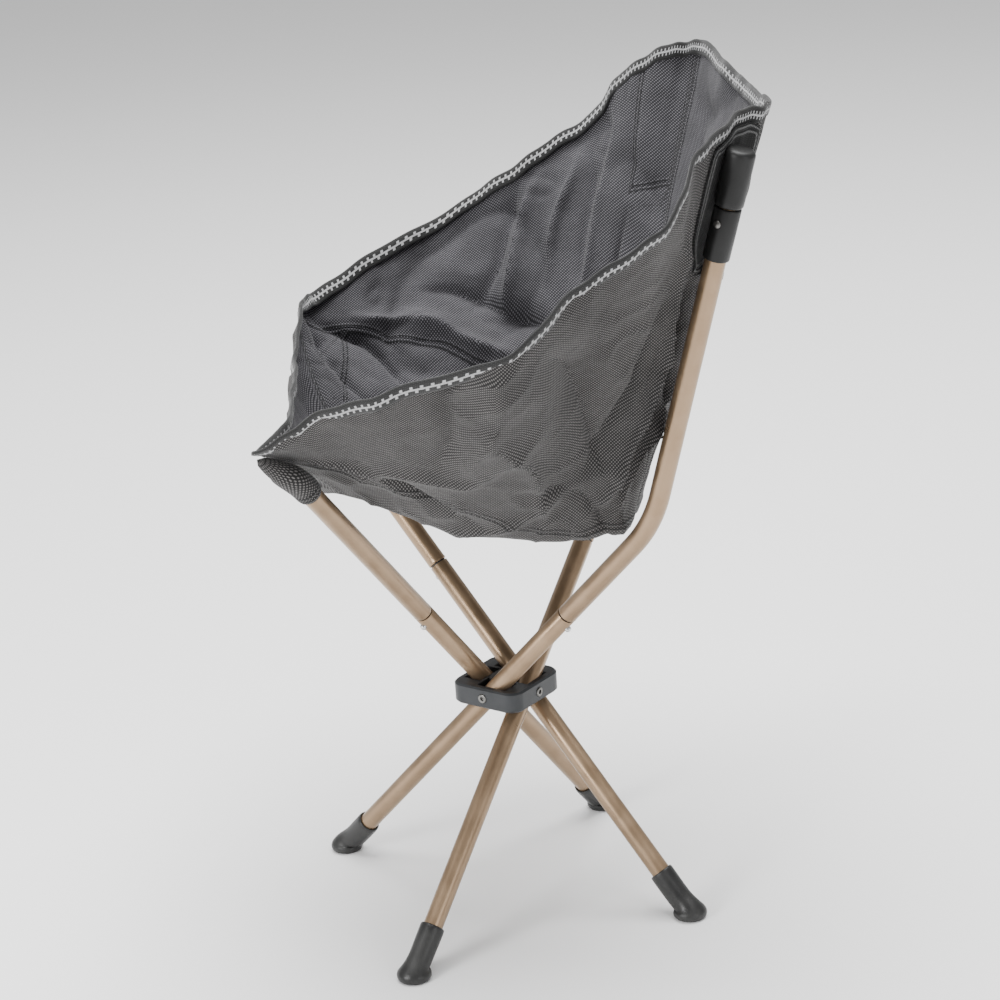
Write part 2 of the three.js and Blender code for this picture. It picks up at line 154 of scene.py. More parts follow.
def buildStitches():
    # two rows of thread either side of a seam, from the distance to it and along it in metres
    inputs = [("Across", "NodeSocketFloat", 1.0), ("Along", "NodeSocketFloat", 0.0),
              ("Row", "NodeSocketFloat", 0.0028), ("Pitch", "NodeSocketFloat", 0.0034)]
    outputs = [("Thread", "NodeSocketFloat"), ("Height", "NodeSocketFloat")]
    group, entry, leave = newGroup("stitchRows", inputs, outputs)
    away = addMath(group, "ABSOLUTE", entry.outputs["Across"])
    offset = addMath(group, "ABSOLUTE", addMath(group, "SUBTRACT", away, entry.outputs["Row"]))
    row = addRamp(group, offset, 0.0006, 0.0013, 1.0, 0.0)
    beat = addMath(group, "DIVIDE", entry.outputs["Along"], entry.outputs["Pitch"])
    beat = addMath(group, "FRACT", beat)
    beat = addMath(group, "ABSOLUTE", addMath(group, "SUBTRACT", beat, 0.5))
    dash = addRamp(group, beat, 0.34, 0.42, 1.0, 0.0)
    thread = addMath(group, "MULTIPLY", row, dash)
    welt = addRamp(group, away, 0.0035, 0.0055, 1.0, 0.0)
    groove = addRamp(group, away, 0.0, 0.0011, -1.4, 0.0)
    pinch = addRamp(group, offset, 0.0, 0.0016, -0.5, 0.0)
    height = addMath(group, "ADD", addMath(group, "ADD", welt, groove), pinch)
    group.links.new(thread, leave.inputs["Thread"])
    group.links.new(addMath(group, "ADD", height, thread), leave.inputs["Height"])
    return group


def buildGrain():
    # fine moulded or sprayed texture with broad uneven patches
    inputs = [("Vector", "NodeSocketVector", None), ("Fine", "NodeSocketFloat", 1800.0),
              ("Broad", "NodeSocketFloat", 40.0)]
    outputs = [("Height", "NodeSocketFloat"), ("Patches", "NodeSocketFloat"), ("Specks", "NodeSocketFloat")]
    group, entry, leave = newGroup("fineGrain", inputs, outputs)
    for label, source, detail in (("Height", "Fine", 2), ("Patches", "Broad", 4)):
        texture = group.nodes.new("ShaderNodeTexNoise")
        texture.inputs["Detail"].default_value = detail
        group.links.new(entry.outputs["Vector"], texture.inputs["Vector"])
        group.links.new(entry.outputs[source], texture.inputs["Scale"])
        group.links.new(texture.outputs["Fac"], leave.inputs[label])
        if source == "Fine":
            group.links.new(addRamp(group, texture.outputs["Fac"], 0.56, 0.68), leave.inputs["Specks"])
    return group


weaveGroup = buildWeave()
stitchGroup = buildStitches()
grainGroup = buildGrain()


def newMaterial(name, roughness, metallic=0.0, **extra):
    material = bpy.data.materials.new(name)
    material.use_nodes = True
    tree = material.node_tree
    shader = tree.nodes["Principled BSDF"]
    shader.inputs["Roughness"].default_value = roughness
    shader.inputs["Metallic"].default_value = metallic
    for label, value in extra.items():
        shader.inputs[label.replace("_", " ")].default_value = value
    return material, tree, shader


def addGroup(tree, group, **values):
    node = tree.nodes.new("ShaderNodeGroup")
    node.node_tree = group
    for label, value in values.items():
        if isinstance(value, bpy.types.NodeSocket):
            tree.links.new(value, node.inputs[label])
        else:
            node.inputs[label].default_value = value
    return node


def addBump(tree, shader, height, distance, strength=1.0):
    bump = tree.nodes.new("ShaderNodeBump")
    bump.inputs["Distance"].default_value = distance
    bump.inputs["Strength"].default_value = strength
    tree.links.new(height, bump.inputs["Height"])
    tree.links.new(bump.outputs["Normal"], shader.inputs["Normal"])
    return bump


def objectCoordinates(tree):
    return tree.nodes.new("ShaderNodeTexCoord").outputs["Object"]


def readAttribute(tree, name):
    node = tree.nodes.new("ShaderNodeAttribute")
    node.attribute_name = name
    return node.outputs["Fac"]


def clothMaterial(name, dark, light, threadColor):
    material, tree, shader = newMaterial(
        name, 0.82, Sheen_Weight=0.08, Sheen_Roughness=0.5, Specular_IOR_Level=0.25)
    uvMap = tree.nodes.new("ShaderNodeUVMap")
    uvMap.uv_map = "UVMap"
    weave = addGroup(tree, weaveGroup, Vector=uvMap.outputs["UV"], Dark=(*dark, 1), Light=(*light, 1))
    rows = addGroup(
        tree, stitchGroup, Across=readAttribute(tree, "seamAcross"), Along=readAttribute(tree, "seamAlong"))
    color = addMix(tree, rows.outputs["Thread"], weave.outputs["Color"], threadColor)
    tree.links.new(color, shader.inputs["Base Color"])
    pucker = addNoise(tree, objectCoordinates(tree), 130, 3)
    height = addMath(tree, "MULTIPLY", weave.outputs["Height"], 0.22)
    height = addMath(tree, "ADD", height, addMath(tree, "MULTIPLY", rows.outputs["Height"], 0.9))
    height = addMath(tree, "ADD", height, addMath(tree, "MULTIPLY", pucker, 1.2))
    addBump(tree, shader, height, 0.0006)
    rough = addRamp(tree, weave.outputs["Fleck"], 0.0, 1.0, 0.88, 0.66)
    tree.links.new(rough, shader.inputs["Roughness"])
    return material


def grainMaterial(name, low, high, roughness, metallic, fine, bumpDistance, **extra):
    material, tree, shader = newMaterial(name, roughness, metallic, **extra)
    grain = addGroup(tree, grainGroup, Vector=objectCoordinates(tree), Fine=fine)
    patches = addRamp(tree, grain.outputs["Patches"], 0.3, 0.7)
    tree.links.new(addMix(tree, patches, low, high), shader.inputs["Base Color"])
    rough = addRamp(tree, grain.outputs["Patches"], 0.25, 0.75, roughness - 0.07, roughness + 0.08)
    tree.links.new(rough, shader.inputs["Roughness"])
    addBump(tree, shader, grain.outputs["Height"], bumpDistance)
    return material


def tapeMaterial():
    # black tape with a light comb-like zigzag down its middle; the UV map is in metres
    material, tree, shader = newMaterial("bindingTape", 0.8, Sheen_Weight=0.2, Specular_IOR_Level=0.3)
    uvMap = tree.nodes.new("ShaderNodeUVMap")
    uvMap.uv_map = "UVMap"
    split = tree.nodes.new("ShaderNodeSeparateXYZ")
    tree.links.new(uvMap.outputs["UV"], split.inputs[0])
    beat = addMath(tree, "MULTIPLY", split.outputs["X"], 2 * math.pi / zigzag["pitch"])
    wave = addMath(tree, "SINE", beat)
    swing = addMath(tree, "MULTIPLY", addRamp(tree, wave, -0.35, 0.35, -1.0, 1.0), zigzag["reach"])
    spine = addMath(tree, "ABSOLUTE", split.outputs["Y"])
    spineMask = addRamp(tree, spine, zigzag["spine"], zigzag["spine"] + 0.0004, 1.0, 0.0)
    toothAway = addMath(tree, "ABSOLUTE", addMath(tree, "SUBTRACT", split.outputs["Y"], swing))
    toothMask = addRamp(tree, toothAway, zigzag["tooth"], zigzag["tooth"] + 0.0004, 1.0, 0.0)
    edge = addMath(tree, "ABSOLUTE", wave)
    toothMask = addMath(tree, "MULTIPLY", toothMask, addRamp(tree, edge, 0.45, 0.7))
    mask = addMath(tree, "MAXIMUM", spineMask, toothMask)
    weave = addGroup(tree, weaveGroup, Vector=uvMap.outputs["UV"], Threads=900.0,
                     Dark=(0.006, 0.006, 0.006, 1), Light=(0.022, 0.022, 0.022, 1))
    twist = addNoise(tree, uvMap.outputs["UV"], 2400, 2)
    thread = addMix(tree, addRamp(tree, twist, 0.35, 0.65), (0.20, 0.20, 0.20), (0.52, 0.52, 0.53))
    tree.links.new(addMix(tree, mask, weave.outputs["Color"], thread), shader.inputs["Base Color"])
    height = addMath(tree, "ADD", mask, addMath(tree, "MULTIPLY", weave.outputs["Height"], 0.25))
    addBump(tree, shader, height, 0.0007)
    return material


zigzag = {"pitch": 0.0058, "reach": 0.0025, "spine": 0.0008, "tooth": 0.0012}

looks = {
    "clothOut": clothMaterial(
        "slingClothOutside", (0.013, 0.0125, 0.0125), (0.128, 0.121, 0.119), (0.002, 0.002, 0.002)),
    "clothIn": clothMaterial(
        "slingClothInside", (0.016, 0.0155, 0.018), (0.138, 0.134, 0.146), (0.002, 0.002, 0.003)),
    "patch": clothMaterial(
        "stiffPatch", (0.006, 0.006, 0.006), (0.022, 0.022, 0.022), (0.12, 0.12, 0.12)),
    "tape": tapeMaterial(),
    "paint": grainMaterial(
        "champagnePaint", (0.27, 0.183, 0.110), (0.325, 0.224, 0.139), 0.34, 0.72, 2600, 0.00003,
        Coat_Weight=0.12, Coat_Roughness=0.18),
    "hub": grainMaterial("hubPlastic", (0.020, 0.022, 0.024), (0.034, 0.036, 0.039), 0.42, 0, 1500, 0.00010,
                         Specular_IOR_Level=0.32),
    "plastic": grainMaterial(
        "blackPlastic", (0.006, 0.006, 0.006), (0.012, 0.012, 0.012), 0.42, 0, 1500, 0.0001,
        Specular_IOR_Level=0.26),
    "rubber": grainMaterial("footRubber", (0.010, 0.010, 0.010), (0.024, 0.024, 0.023), 0.40, 0, 700, 0.0002,
                            Specular_IOR_Level=0.42),
    "steel": grainMaterial("brightSteel", (0.52, 0.52, 0.52), (0.68, 0.68, 0.68), 0.25, 1, 900, 0.00003),
    # painted shade: a near-black stand-in for the dark gap at each splice, put on the spigot's faces
    "gap": grainMaterial("paintedGapShade", (0.035, 0.034, 0.032), (0.06, 0.058, 0.055), 0.55, 0.6, 900, 0.00004),
    "dullSteel": grainMaterial("dullSteel", (0.13, 0.127, 0.12), (0.22, 0.215, 0.205), 0.36, 1, 900, 0.00004),
}
print("materials ready")


def lathe(profile, steps=40):
    mesh = bmesh.new()
    points = [mesh.verts.new((radius * mm, 0, height * mm)) for radius, height in profile]
    edges = [mesh.edges.new(pair) for pair in zip(points, points[1:])]
    bmesh.ops.spin(mesh, geom=points + edges, cent=(0, 0, 0), axis=(0, 0, 1),
                   angle=2 * math.pi, steps=steps, use_merge=True)
    bmesh.ops.remove_doubles(mesh, verts=mesh.verts, dist=1e-6)
    bmesh.ops.recalc_face_normals(mesh, faces=mesh.faces)
    return mesh


def addPiece(name, mesh, look, body, nodes=(), sharpAngle=35):
    for face in mesh.faces:
        face.smooth = True
    for edge in mesh.edges:
        if edge.is_boundary or edge.calc_face_angle(0) > math.radians(sharpAngle):
            edge.smooth = False
    data = bpy.data.meshes.new(name)
    mesh.to_mesh(data)
    mesh.free()
    for item in (look if isinstance(look, tuple) else (look,)):
        data.materials.append(looks[item])
    piece = bpy.data.objects.new(name, data)
    bpy.context.scene.collection.objects.link(piece)
    if body:
        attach(piece, body)
    if nodes:
        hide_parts(*nodes)
    return piece


def carriedPiece(name, node, look, body, bevelWidth):
    # a merged copy of a node, with its edges rounded
    source = bpy.data.objects[node]
    mesh = bmesh.new()
    mesh.from_mesh(source.data)
    bmesh.ops.remove_doubles(mesh, verts=mesh.verts, dist=2e-6)
    bmesh.ops.dissolve_limit(mesh, angle_limit=math.radians(1), verts=mesh.verts, edges=mesh.edges)
    piece = addPiece(name, mesh, look, body, (node,), 40)
    bevel = piece.modifiers.new("edges", "BEVEL")
    bevel.width = bevelWidth
    bevel.segments = 2
    bevel.limit_method = "ANGLE"
    bevel.angle_limit = math.radians(38)
    bevel.harden_normals = False
    return piece


tubes = {
    "radius": 10, "frontLean": 41.3, "rearLean": 44, "postLean": 17, "bendAt": 298, "bendTrim": 34,
    "postLength": 381, "frontTip": 400, "footRise": 6.5,
}
sides = {
    "front_left": {"lean": tubes["frontLean"], "splice": 147},
    "front_right": {"lean": tubes["frontLean"], "splice": 147},
    "rear_left": {"lean": tubes["rearLean"], "splice": 145},
    "rear_right": {"lean": tubes["rearLean"], "splice": 173},
}


def legFrame(side):
    # origin at the pivot, X along the swing, Y out of the swing's plane
    joint = joints["fold_" + side]
    across = -Vector(joint["axis"])
    swing = across.cross(up)
    turn = Matrix((swing, across, up)).transposed().to_4x4()
    return Matrix.Translation(Vector(joint["pos_m"])) @ turn


def axisAt(lean):
    return Vector((math.sin(math.radians(lean)), 0, math.cos(math.radians(lean))))


def tubePoint(side, distance):
    # a point of the tube's centre line and its direction, in the leg's frame
    lean = sides[side]["lean"]
    start = axisAt(lean)
    if side.startswith("front") or distance <= tubes["bendAt"] - tubes["bendTrim"]:
        return start * distance * mm, start
    swept = math.radians(lean - tubes["postLean"])
    radius = tubes["bendTrim"] / math.tan(swept / 2)
    past = distance - (tubes["bendAt"] - tubes["bendTrim"])
    corner = start * (tubes["bendAt"] - tubes["bendTrim"]) * mm
    inward = Vector((-start.z, 0, start.x))
    middle = corner + inward * radius * mm
    angle = min(past / radius, swept)
    direction = axisAt(lean - math.degrees(angle))
    outward = Vector((direction.z, 0, -direction.x))
    place = middle + outward * radius * mm
    return place + direction * max(past - swept * radius, 0) * mm, direction


def layAlong(mesh, side):
    # bends a shape turned about Z so that its Z runs along the tube, then places it
    for vertex in mesh.verts:
        place, direction = tubePoint(side, vertex.co.z / mm)
        outward = Vector((direction.z, 0, -direction.x))
        vertex.co = place + outward * vertex.co.x + Vector((0, vertex.co.y, 0))
    mesh.transform(legFrame(side))
    return mesh


def stretch(profile, start, end, radius, step):
    # adds points to a profile along a straight run, so that it can bend
    count = max(1, round((end - start) / step))
    profile.extend((radius, start + (end - start) * index / count) for index in range(count + 1))


def postEnd():
    swept = math.radians(tubes["rearLean"] - tubes["postLean"])
    radius = tubes["bendTrim"] / math.tan(swept / 2)
    return tubes["bendAt"] - 2 * tubes["bendTrim"] + swept * radius + tubes["postLength"]


def buildTubes(side):
    leg = sides[side]
    splice = leg["splice"]
    bottom = -(hubMiddle.z / mm - tubes["footRise"]) / math.cos(math.radians(leg["lean"])) + 6
    radius = tubes["radius"]
    lower = [(0, bottom), (radius, bottom), (radius, splice - 2.0), (radius - 0.35, splice - 1.5),
             (8.85, splice - 1.5), (8.85, splice - 8), (0, splice - 8)]
    addPiece("lower_leg_" + side, layAlong(lathe(lower, 48), side), "paint", "leg_" + side,
             ("lower_tube_" + side,))
    upper = [(0, splice - 7), (8.4, splice - 7), (8.4, splice - 0.1), (9.3, splice), (9.95, splice + 0.5),
             (10.15, splice + 1.3), (10.15, splice + 2.2), (radius, splice + 3.4)]
    end = postEnd() if side.startswith("rear") else tubes["frontTip"]
    stretch(upper, splice + 6, end, radius, 6 if side.startswith("rear") else 60)
    upper.append((0, end))
    mesh = lathe(upper, 48)
    # spigot faces below the splice get the near-black material: painted shade for the dark gap at the splice
    for face in mesh.faces:
        face.material_index = 1 if face.calc_center_median().z < (splice - 0.05) * mm else 0
    addPiece("upper_leg_" + side, layAlong(mesh, side), ("paint", "gap"), "leg_" + side,
             ("upper_tube_" + side,))


button = {"radius": 3.2, "proud": 13.7, "base": 6.4, "springFoot": 6.5}


def buildButton(side):
    radius = button["radius"]
    profile = [(0, button["base"]), (radius, button["base"]), (radius, 11.2)]
    for index in range(1, 8):
        angle = math.radians(90 * index / 7)
        profile.append((radius * math.cos(angle), 11.2 + (button["proud"] - 11.2) * math.sin(angle)))
    mesh = lathe(profile, 24)
    joint = joints["press_" + side]
    turn = up.rotation_difference(-Vector(joint["axis"])).to_matrix().to_4x4()
    mesh.transform(Matrix.Translation(Vector(joint["pos_m"])) @ turn)
    addPiece("button_dome_" + side, mesh, "steel", "button_" + side, ("snap_button_" + side,))


def buildSpring(side):
    # the strip gives between the button's base and the far side of the tube
    node = "button_spring_" + side
    mesh = bmesh.new()
    mesh.from_mesh(bpy.data.objects[node].data)
    bmesh.ops.remove_doubles(mesh, verts=mesh.verts, dist=2e-6)
    piece = addPiece("button_strip_" + side, mesh, "steel", None, (node,), 40)
    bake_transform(piece)


# each ring of a foot: radius, distance along the sleeve or height of the base, tilt from square to level
footRings = [
    (9.9, 44, 0), (10.35, 47.9, 0), (11.0, 48.5, 0), (11.9, 48.3, 0), (12.55, 47.2, 0), (12.7, 44, 0),
    (12.55, 36, 0), (12.4, 26, 0), (12.3, 16, 0), (12.5, 10, 0.1), (13.2, 6.2, 0.4), (14.8, 3.8, 0.7),
    (16.6, 2.1, 0.95), (17.4, 0.4, 1), (17.6, -1.8, 1), (17.2, -4.1, 1), (16.1, -5.7, 1), (14.0, -6.4, 1),
    (0, -6.4, 1),
]
footCrease = {"angle": 0.5, "width": 0.16, "depth": 0.9}


def buildFoot(side):
    lean = sides[side]["lean"]
    drop = (hubMiddle.z / mm - tubes["footRise"]) / math.cos(math.radians(lean))
    mesh = lathe([(ring[0], index) for index, ring in enumerate(footRings)], 56)
    direction = axisAt(lean)
    base = direction * (-drop - 2.5)
    for vertex in mesh.verts:
        _, distance, tilt = footRings[min(len(footRings) - 1, round(vertex.co.z / mm))]
        around = math.atan2(vertex.co.y, vertex.co.x)
        away = Vector((vertex.co.x, vertex.co.y, 0)).length / mm
        creaseAway = (around - footCrease["angle"]) / footCrease["width"]
        fade = min(1, max(0, (46 - distance) / 12)) * (1 if away > 6 else 0)
        away -= footCrease["depth"] * fade * math.exp(-creaseAway * creaseAway)
        away += 0.35 * fade * math.exp(-(abs(creaseAway) - 2) ** 2)
        square = direction * (distance - drop)
        level = Vector((base.x, 0, distance - drop * math.cos(math.radians(lean))))
        middle = square.lerp(level, tilt)
        normal = direction.lerp(up, tilt).normalized()
        sideways = Vector((normal.z, 0, -normal.x))
        middle += sideways * away * math.cos(around) + Vector((0, away * math.sin(around), 0))
        vertex.co = middle * mm
    bmesh.ops.recalc_face_normals(mesh, faces=mesh.faces)
    mesh.transform(legFrame(side))
    floorLevel = min(vertex.co.z for vertex in mesh.verts)
    bmesh.ops.translate(mesh, verts=mesh.verts, vec=(0, 0, -floorLevel))
    piece = addPiece("foot_rubber_" + side, mesh, "rubber", "leg_" + side,
                     ("foot_" + side,), 60)
    smooth = piece.modifiers.new("soft", "SUBSURF")
    smooth.levels = smooth.render_levels = 1


fitting = {"from": 280, "split": 331, "to": 386}


def fittingStart():
    return postEnd() - tubes["postLength"]


def buildFitting(side):
    start = fittingStart()
    low, split, high = (start + fitting[key] for key in ("from", "split", "to"))
    sleeve = [(10.1, low + 1), (11.6, low), (12.2, low + 0.5), (12.5, low + 1.6), (12.7, low + 24),
              (12.8, split - 2), (12.5, split - 0.9), (11.9, split - 0.3), (10.1, split - 0.3)]
    addPiece("post_sleeve_" + side, layAlong(lathe(sleeve, 48), side), "plastic", "leg_" + side,
             ("post_ferrule_" + side,), 50)
    cap = [(10.1, split + 0.9), (12.0, split + 0.9), (13.0, split + 1.5), (13.6, split + 2.8),
           (13.8, split + 8), (13.9, high - 5.5), (13.6, high - 3.6), (12.8, high - 1.9),
           (11.4, high - 0.7), (9.6, high - 0.1), (6, high), (0, high)]
    addPiece("post_cap_" + side, layAlong(lathe(cap, 48), side), "plastic", "cap_" + side,
             ("swivel_cap_" + side,), 60)
    carriedPiece("sleeve_screw_" + side, "ferrule_screw_" + side, "dullSteel", "leg_" + side,
                 0.0003)


for side in sides:
    buildTubes(side)
    buildButton(side)
    buildSpring(side)
    buildFoot(side)
    carriedPiece("pivot_bolt_" + side, "pivot_screw_" + side, "dullSteel", "hub", 0.0004)
for side in ("rear_left", "rear_right"):
    buildFitting(side)
carriedPiece("hub_body", "hub_block", "hub", "hub", 0.0009)
print("frame ready")


# half the seat as columns from the front middle round to the back middle, in millimetres from
# the hub's axis and the ground: the rim, the middle of the wall and the edge of the floor;
# the other half mirrors it, except where its front corner stands up and back
sling = {
    "columns": [
        ((0, -190, 566), (0, -186, 524), (0, -170, 482)),
        ((110, -196, 565), (100, -190, 524), (78, -166, 483)),
        ((208, -226, 564), (152, -186, 532), (112, -148, 487)),
        ((232, -170, 602), (186, -140, 542), (126, -114, 478)),
        ((272, -100, 632), (218, -84, 545), (132, -60, 458)),
        ((322, 10, 673), (238, 4, 558), (132, 10, 440)),
        ((291, 78, 722), (218, 78, 590), (128, 66, 430)),
        ((292, 146, 760), (200, 126, 612), (118, 94, 430)),
        ((246, 190, 818), (180, 156, 630), (108, 110, 432)),
        ((210, 230, 842), (166, 176, 636), (98, 120, 432)),
        ((194, 258, 846), (146, 196, 640), (84, 128, 432)),
        ((104, 266, 840), (78, 204, 638), (46, 138, 430)),
        ((0, 270, 836), (0, 208, 636), (0, 142, 428)),
    ],
    "rightFront": {
        22: ((-200, -178, 602), (-150, -174, 546), (-112, -148, 487)),
        23: ((-106, -186, 572), (-98, -187, 527), (-78, -166, 483)),
    },
    "floorMiddle": (0, -20, 434),
    "frontCorner": 2, "rearCorner": 10, "widest": 5,
    "cell": 3.6, "rows": 112, "thickness": 1.1, "column": 68, "creaseGain": 2.0, "creaseNarrow": 0.62,
}
loopSteps = 2 * (len(sling["columns"]) - 1)
quarters = {
    "front_left": (0, sling["widest"], sling["frontCorner"]),
    "rear_left": (sling["widest"], 12, sling["rearCorner"]),
    "rear_right": (12, loopSteps - sling["widest"], loopSteps - sling["rearCorner"]),
    "front_right": (loopSteps - sling["widest"], loopSteps, loopSteps - sling["frontCorner"]),
}


def columnPoint(index, row):
    index = round(index) % loopSteps
    if index in sling["rightFront"]:
        return Vector(sling["rightFront"][index][row])
    mirrored = index > loopSteps / 2
    x, y, z = sling["columns"][loopSteps - index if mirrored else index][row]
    return Vector((-x if mirrored else x, y, z))


def roundPoint(turn, row):
    # centripetal Catmull-Rom through the columns
    index = math.floor(turn)
    points = [columnPoint(index + offset, row) for offset in (-1, 0, 1, 2)]
    times = [0.0]
    for first, second in zip(points, points[1:]):
        times.append(times[-1] + max((second - first).length, 1e-3) ** 0.5)
    t = times[1] + (turn - index) * (times[2] - times[1])

    def between(first, second, start, end):
        return first + (second - first) * ((t - start) / (end - start))

    lower = [between(points[k], points[k + 1], times[k], times[k + 1]) for k in range(3)]
    middle = [between(lower[k], lower[k + 1], times[k], times[k + 2]) for k in range(2)]
    return between(middle[0], middle[1], times[1], times[2])


def slingPoint(turn, depth):
    # depth runs from 0 at the rim by 1 at the middle of the wall and 2 at the floor's edge to 3
    floor = roundPoint(turn, 2)
    if depth > 2:
        return floor.lerp(Vector(sling["floorMiddle"]), depth - 2)
    half = depth / 2
    rim = roundPoint(turn, 0) * (1 - half) * (1 - 2 * half)
    return rim + roundPoint(turn, 1) * 4 * half * (1 - half) + floor * half * (2 * half - 1)


def slingFrame(turn, depth):
    # unit vectors down the cloth, round the seat and out of it
    step = 0.04
    around = slingPoint(turn + step, depth) - slingPoint(turn - step, depth)
    down = slingPoint(turn, min(depth + step, 3)) - slingPoint(turn, max(depth - step, 0))
    down.normalize()
    around.normalize()
    return down, around, down.cross(around).normalized()


# creases: turn and depth of each end, then height and width in millimetres
creases = [
    (4.55, 0.08, 4.35, 0.95, -6.5, 15), (4.9, 0.15, 4.7, 1.0, 5.0, 13), (2.5, 0.75, 3.5, 1.4, 5.0, 10),
    (2.7, 1.0, 4.4, 1.75, -4.5, 11), (4.9, 0.8, 5.5, 1.7, 5.5, 13), (5.6, 0.5, 6.5, 1.5, -6.0, 18),
    (6.5, 1.75, 8.2, 1.1, 7.0, 12), (6.3, 1.45, 7.6, 0.85, -5.5, 14), (7.5, 1.75, 9.3, 1.25, 6.0, 11),
    (7.9, 0.35, 8.3, 1.2, 4.5, 14), (8.6, 0.9, 9.4, 1.8, -4.5, 11), (5.4, 1.55, 7.2, 1.95, -4.5, 12),
    (10.6, 0.3, 11.2, 1.5, 4.0, 22), (3.0, 2.1, 4.6, 2.6, 4.5, 14), (6.2, 2.05, 8.8, 2.5, -4.0, 18),
    (18.0, 0.3, 18.55, 0.95, -9.0, 10), (18.3, 0.25, 18.9, 0.85, 6.5, 12), (17.3, 0.3, 17.8, 0.85, -7.0, 10),
    (17.0, 0.35, 17.1, 1.0, 5.5, 13), (19.3, 0.7, 18.1, 1.2, 8.5, 10), (19.6, 0.85, 18.6, 1.35, -7.5, 9),
    (20.7, 0.65, 19.9, 1.45, 8.5, 13), (20.3, 0.6, 19.4, 1.0, -6.0, 9), (18.7, 1.05, 17.4, 1.5, 6.5, 11),
    (16.4, 0.45, 17.2, 1.3, -5.0, 14), (15.8, 0.9, 16.6, 1.6, 5.0, 13), (21.4, 0.5, 20.9, 1.6, 5.0, 11),
    (13.4, 0.4, 12.8, 1.4, 4.0, 22), (19.9, 1.5, 18.3, 1.85, -6.0, 12), (17.9, 1.3, 16.3, 1.75, -5.5, 12),
]


# creases: millimetres to one step of depth, how far a crease wanders and where its ends fade out
creasing = {"deep": 130, "cutoff": 3, "overrun": 0.3, "wander": 4, "fadeFrom": 0.25, "fadeRate": 2.2}


def creaseLift(turn, depth):
    # sum of the creases, in columns and depths brought to millimetres
    deep = creasing["deep"]
    total = 0.0
    for startTurn, startDepth, endTurn, endDepth, height, width in creases:
        alongX, alongY = (endTurn - startTurn) * sling["column"], (endDepth - startDepth) * deep
        toX, toY = (turn - startTurn) * sling["column"], (depth - startDepth) * deep
        width *= sling["creaseNarrow"]
        length = math.hypot(alongX, alongY)
        position = (toX * alongX + toY * alongY) / (length * length)
        away = (toX * alongY - toY * alongX) / length
        overrun, fadeFrom, rate = creasing["overrun"], creasing["fadeFrom"], creasing["fadeRate"]
        if abs(away) > creasing["cutoff"] * width or not -overrun < position < 1 + overrun:
            continue
        away += creasing["wander"] * math.sin(position * 5 + startTurn * 3)
        begin = max(0.0, min(1.0, (position + fadeFrom) * rate))
        finish = max(0.0, min(1.0, (1 + fadeFrom - position) * rate))
        ends = begin * finish
        total += height * math.exp(-abs(away / width)) * ends
    return total * sling["creaseGain"]


# the cloth's unevenness: wavelengths as noise frequencies per millimetre, heights in millimetres
unevenness = {
    "seed": (3.1, 8.7, 1.9), "driftFrequency": 0.012, "drift": 30,
    "lowFrequency": 0.008, "low": 8, "facetFrequency": 0.0085, "facetWidth": 2.6, "facet": 6.5,
    "foldFrequency": 0.021, "foldWidth": 3.2, "fold": 2.2, "fineFrequency": 0.07, "fine": 0.4,
    "crumpleFrequency": 0.007, "crumpleLeast": 0.35, "crumple": 2.2,
    "rimFade": 0.16, "cornerFade": 0.7, "cornerLeast": 0.25, "floor": 0.45,
}


def clothLift(turn, depth, point):
    # how far the cloth stands out of its smooth surface, in millimetres
    look = unevenness
    seed = Vector(look["seed"])
    drift = Vector([noise.noise(point * look["driftFrequency"] + seed * k) for k in (1, 2, 3)])
    bent = point + drift * look["drift"]
    low = noise.noise(point * look["lowFrequency"] + seed) * look["low"]
    facet = abs(noise.noise(bent * look["facetFrequency"] + seed * 2)) * look["facetWidth"]
    fold = abs(noise.noise(bent * look["foldFrequency"] + seed * 4)) * look["foldWidth"]
    fine = noise.noise(point * look["fineFrequency"] + seed * 3) * look["fine"]
    patchy = max(0.0, noise.noise(point * look["crumpleFrequency"] + seed * 5))
    crumple = look["crumpleLeast"] + patchy * look["crumple"]
    lift = low + max(0.0, 1 - facet) ** 2 * look["facet"] + fine
    lift += max(0.0, 1 - fold) ** 2.5 * look["fold"] * crumple
    lift += creaseLift(turn % loopSteps, depth)
    rimFade = min(1.0, max(0.0, depth / look["rimFade"]))
    corner = min(abs((turn % loopSteps) - c) for c in (2, 10, loopSteps - 10, loopSteps - 2))
    cornerFade = min(1.0, max(look["cornerLeast"], corner / look["cornerFade"])) if depth < 2 else 1.0
    floorFade = look["floor"] if depth > 2 else 1.0
    return lift * rimFade * cornerFade * floorFade


# waves round the rim, as a count, height in millimetres and start, and the back edge's reach
ripples = {"long": (20, 1.6, 0.7), "short": (45, 1.1, 0.0), "back": (33, 3.2, 1.0), "backReach": 2.2}


def rimWave(turn):
    # the rim's small puckers, a whole number of them round the seat
    lap = 2 * math.pi * turn / loopSteps
    waves = {}
    for key in ("long", "short", "back"):
        count, height, start = ripples[key]
        waves[key] = height * math.sin(lap * count + start)
    backEdge = max(0.0, 1 - abs(turn - loopSteps / 2) / ripples["backReach"])
    return waves["long"] + waves["short"] + backEdge * waves["back"]


def seatPoint(turn, depth, lift=0.0):
    point = slingPoint(turn, depth)
    down, around, out = slingFrame(turn, min(depth, 2.95))
    wave = rimWave(turn) * max(0.0, 1 - depth / 0.5)
    point = point + out * (lift + wave * 0.7) + down * wave * 0.5
    if depth <= 2.999:
        point += out * clothLift(turn, depth, point)
    return (point + Vector((hubMiddle.x, hubMiddle.y, 0)) / mm) * mm


def legShare(turn, depth, quarter):
    # the share of its leg's motion given to a point, stored as a weight: none where quarters meet, all of it
    # by the tube's end
    start, end, corner = quarters[quarter]
    reach = corner - start if turn < corner else end - corner
    away = abs(turn - corner) / reach
    share = min(1.0, max(0.0, (1 - away) / 0.62))
    share = share * share * (3 - 2 * share)
    inner = min(1.0, max(0.0, 3 - depth))
    return share * inner * inner * (3 - 2 * inner)


